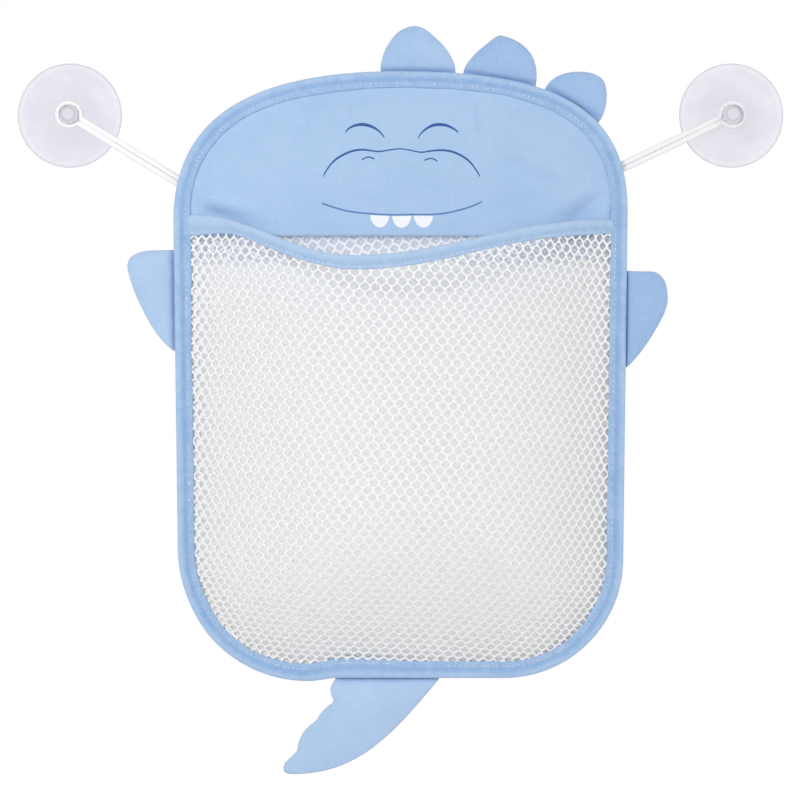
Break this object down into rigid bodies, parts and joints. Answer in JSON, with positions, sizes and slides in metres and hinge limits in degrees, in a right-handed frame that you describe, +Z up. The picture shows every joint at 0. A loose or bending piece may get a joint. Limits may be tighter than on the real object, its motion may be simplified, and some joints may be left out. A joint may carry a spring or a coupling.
{
  "type": "bath toy organizer",
  "caption": "Hanging net bag for bath toys in the outline of a dinosaur, with a bulged net pocket under a cloth head panel, stuffed fins and tail, and suction cups on cords.",
  "frame": {"origin": "On the wall plane, half way between the axes of the two suction cups.", "axes": "+X to the right seen from the front, +Y into the wall, +Z up."},
  "size_m": [0.439, 0.0693, 0.4278],
  "materials": {
    "head_cloth": "woven polyester, light blue, with a printed face",
    "flap_cloth": "woven polyester, light blue, sewn and turned",
    "binding_tape": "woven tape, light blue, folded and stitched",
    "net": "knitted hexagonal polyester net, white",
    "wadding": "polyester wadding, white",
    "cord": "braided polyester cord, white",
    "clear_pvc": "soft clear PVC"
  },
  "bodies": {
    "bag": {"head_panel": "head_cloth", "back_net": "net", "front_net": "net", "edge_binding": "binding_tape", "mouth_binding": "binding_tape"},
    "left_cord": {"left_cord": "cord"},
    "right_cord": {"right_cord": "cord"},
    "left_cup": {"left_suction_cup": "clear_pvc"},
    "right_cup": {"right_suction_cup": "clear_pvc"},
    "spine_1": {"spine_1_front": "flap_cloth", "spine_1_back": "flap_cloth", "spine_1_wadding": "wadding"},
    "spine_2": {"spine_2_front": "flap_cloth", "spine_2_back": "flap_cloth", "spine_2_wadding": "wadding"},
    "spine_3": {"spine_3_front": "flap_cloth", "spine_3_back": "flap_cloth", "spine_3_wadding": "wadding"},
    "left_arm": {"left_arm_front": "flap_cloth", "left_arm_back": "flap_cloth", "left_arm_wadding": "wadding"},
    "right_arm": {"right_arm_front": "flap_cloth", "right_arm_back": "flap_cloth", "right_arm_wadding": "wadding"},
    "tail": {"tail_front": "flap_cloth", "tail_back": "flap_cloth", "tail_wadding": "wadding"}
  },
  "joints": [
    {"name": "left_cord_swing", "type": "hinge", "parent": "bag", "child": "left_cord", "pos_m": [-0.12307, -0.011, -0.04034], "axis": [0, 1, 0], "range_deg": [-50, 50]},
    {"name": "right_cord_swing", "type": "hinge", "parent": "bag", "child": "right_cord", "pos_m": [0.12233, -0.011, -0.03193], "axis": [0, -1, 0], "range_deg": [-50, 50]},
    {"name": "left_cup_spin", "type": "hinge", "parent": "left_cord", "child": "left_cup", "pos_m": [-0.1895, -0.011, 0], "axis": [0, -1, 0], "continuous": true},
    {"name": "right_cup_spin", "type": "hinge", "parent": "right_cord", "child": "right_cup", "pos_m": [0.1895, -0.011, 0], "axis": [0, -1, 0], "continuous": true},
    {"name": "spine_1_fold", "type": "hinge", "parent": "bag", "child": "spine_1", "pos_m": [0.00996, -0.01485, 0.02506], "axis": [0.9998, 0, -0.0188], "range_deg": [-20, 90], "stiffness_Nm_per_rad": 0.005},
    {"name": "spine_2_fold", "type": "hinge", "parent": "bag", "child": "spine_2", "pos_m": [0.0567, -0.01485, 0.02117], "axis": [0.9858, 0, -0.1678], "range_deg": [-20, 90], "stiffness_Nm_per_rad": 0.005},
    {"name": "spine_3_fold", "type": "hinge", "parent": "bag", "child": "spine_3", "pos_m": [0.09896, -0.01485, 0.00695], "axis": [0.8561, 0, -0.5168], "range_deg": [-20, 90], "stiffness_Nm_per_rad": 0.005},
    {"name": "left_arm_fold", "type": "hinge", "parent": "bag", "child": "left_arm", "pos_m": [-0.12954, -0.01485, -0.10631], "axis": [-0.0134, 0, 0.9999], "range_deg": [-20, 90], "stiffness_Nm_per_rad": 0.005},
    {"name": "right_arm_fold", "type": "hinge", "parent": "bag", "child": "right_arm", "pos_m": [0.12937, -0.01485, -0.11691], "axis": [-0.0126, 0, -0.9999], "range_deg": [-20, 90], "stiffness_Nm_per_rad": 0.005},
    {"name": "tail_fold", "type": "hinge", "parent": "bag", "child": "tail", "pos_m": [-0.0075, -0.01485, -0.32215], "axis": [-1, 0, 0], "range_deg": [-10, 90], "stiffness_Nm_per_rad": 0.005}
  ]
}
